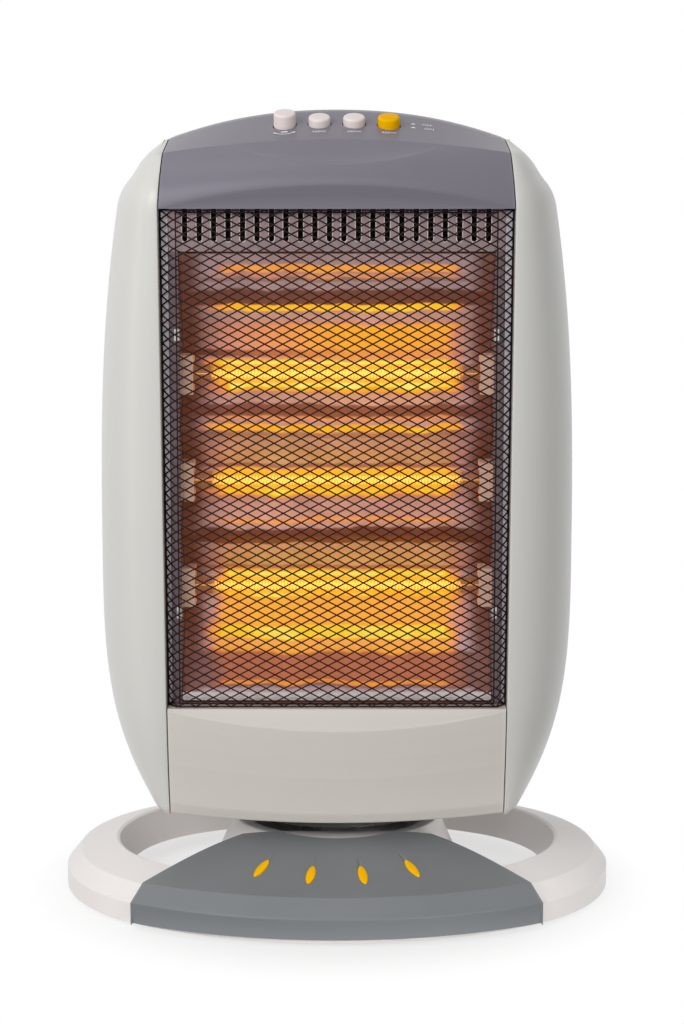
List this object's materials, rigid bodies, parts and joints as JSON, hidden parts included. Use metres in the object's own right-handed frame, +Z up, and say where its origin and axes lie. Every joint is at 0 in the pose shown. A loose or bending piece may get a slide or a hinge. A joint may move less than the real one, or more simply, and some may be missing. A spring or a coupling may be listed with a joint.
{
  "type": "halogen heater",
  "caption": "Free-standing halogen heater with glowing lamp tubes behind a wire grille, push buttons on top and a head that swings on an oval ring base.",
  "frame": {"origin": "on the floor plane, at the middle of the part's outer box, which is also the head's swing axis", "axes": "+X to the right of the heater as seen from the front, +Y from the grille towards the rear cover, +Z up from the floor"},
  "size_m": [0.35, 0.2799, 0.4964],
  "materials": {
    "white_plastic": "semi-gloss moulded",
    "grey_cover": "fine satin moulded",
    "yellow_plastic": "gloss moulded",
    "rubber": "matte",
    "zinc_steel": "zinc plated",
    "slide_plastic": "smooth natural nylon",
    "black_plastic": "satin",
    "side_paint": "satin moulded",
    "panel_plastic": "satin moulded",
    "top_plastic": "satin moulded",
    "grille_paint": "dark enamel on steel wire",
    "reflector_metal": "bright rolled",
    "chamber_steel": "dull sheet steel",
    "quartz": "clear quartz",
    "coil_wire": "glowing resistance wire",
    "ceramic": "unglazed ceramic",
    "switch_plastic": "moulded",
    "button_plastic": "satin moulded"
  },
  "bodies": {
    "base": {"base_ring": "white_plastic", "base_front_cover": "grey_cover", "insert_1": "yellow_plastic", "insert_2": "yellow_plastic", "insert_3": "yellow_plastic", "insert_4": "yellow_plastic", "rubber_feet": "rubber", "pivot_tube": "zinc_steel", "thrust_washer": "slide_plastic", "pivot_nut": "zinc_steel"},
    "head": {"turntable": "black_plastic", "turntable_screws": "zinc_steel", "chassis_plate": "zinc_steel", "left_panel": "side_paint", "right_panel": "side_paint", "lower_panel": "panel_plastic", "top_cover": "top_plastic", "rear_cover": "side_paint", "grille_mesh": "grille_paint", "grille_frame": "grille_paint", "grille_clips": "zinc_steel", "vent_plate": "chamber_steel", "reflector": "reflector_metal", "left_end_plate": "chamber_steel", "right_end_plate": "chamber_steel", "heat_shield": "chamber_steel", "deck_plate": "chamber_steel", "tube_1": "quartz", "tube_2": "quartz", "tube_3": "quartz", "filament_1": "coil_wire", "filament_2": "coil_wire", "filament_3": "coil_wire", "holder_1": "ceramic", "holder_2": "ceramic", "holder_3": "ceramic", "holder_4": "ceramic", "holder_5": "ceramic", "holder_6": "ceramic", "switch_block": "switch_plastic", "thermal_cutout": "switch_plastic", "tilt_switch": "switch_plastic", "terminal_block": "slide_plastic", "swing_motor": "zinc_steel", "cord_inlet": "black_plastic"},
    "button_1_body": {"button_1": "button_plastic"},
    "button_2_body": {"button_2": "button_plastic"},
    "button_3_body": {"button_3": "button_plastic"},
    "button_4_body": {"button_4": "yellow_plastic"},
    "crank_body": {"crank": "zinc_steel"},
    "link_body": {"link": "zinc_steel"}
  },
  "joints": [
    {"name": "head_swing", "type": "hinge", "parent": "base", "child": "head", "pos_m": [0, 0, 0.049], "axis": [0, 0, 1], "range_deg": [-35, 35]},
    {"name": "button_1_press", "type": "slide", "parent": "head", "child": "button_1_body", "axis": [0, -0.379, 0.9254], "range_m": [-0.0036, 0]},
    {"name": "button_2_press", "type": "slide", "parent": "head", "child": "button_2_body", "axis": [0, -0.379, 0.9254], "range_m": [0, 0.0036]},
    {"name": "button_3_press", "type": "slide", "parent": "head", "child": "button_3_body", "axis": [0, -0.379, 0.9254], "range_m": [0, 0.0036]},
    {"name": "button_4_press", "type": "slide", "parent": "head", "child": "button_4_body", "axis": [0, -0.379, 0.9254], "range_m": [0, 0.0036]},
    {"name": "crank_turn", "type": "hinge", "parent": "head", "child": "crank_body", "pos_m": [-0.023, 0.033, 0.0415], "axis": [0, 0, 1], "range_deg": [-57, 57]},
    {"name": "link_turn", "type": "hinge", "parent": "crank_body", "child": "link_body", "pos_m": [-0.0127, 0.033, 0.03525], "axis": [0, 0, 1], "range_deg": [-64, 64]}
  ],
  "couplings": [
    {"joint": "crank_turn", "follows": "head_swing", "ratio": 1.6},
    {"joint": "link_turn", "follows": "head_swing", "ratio": -1.8}
  ]
}
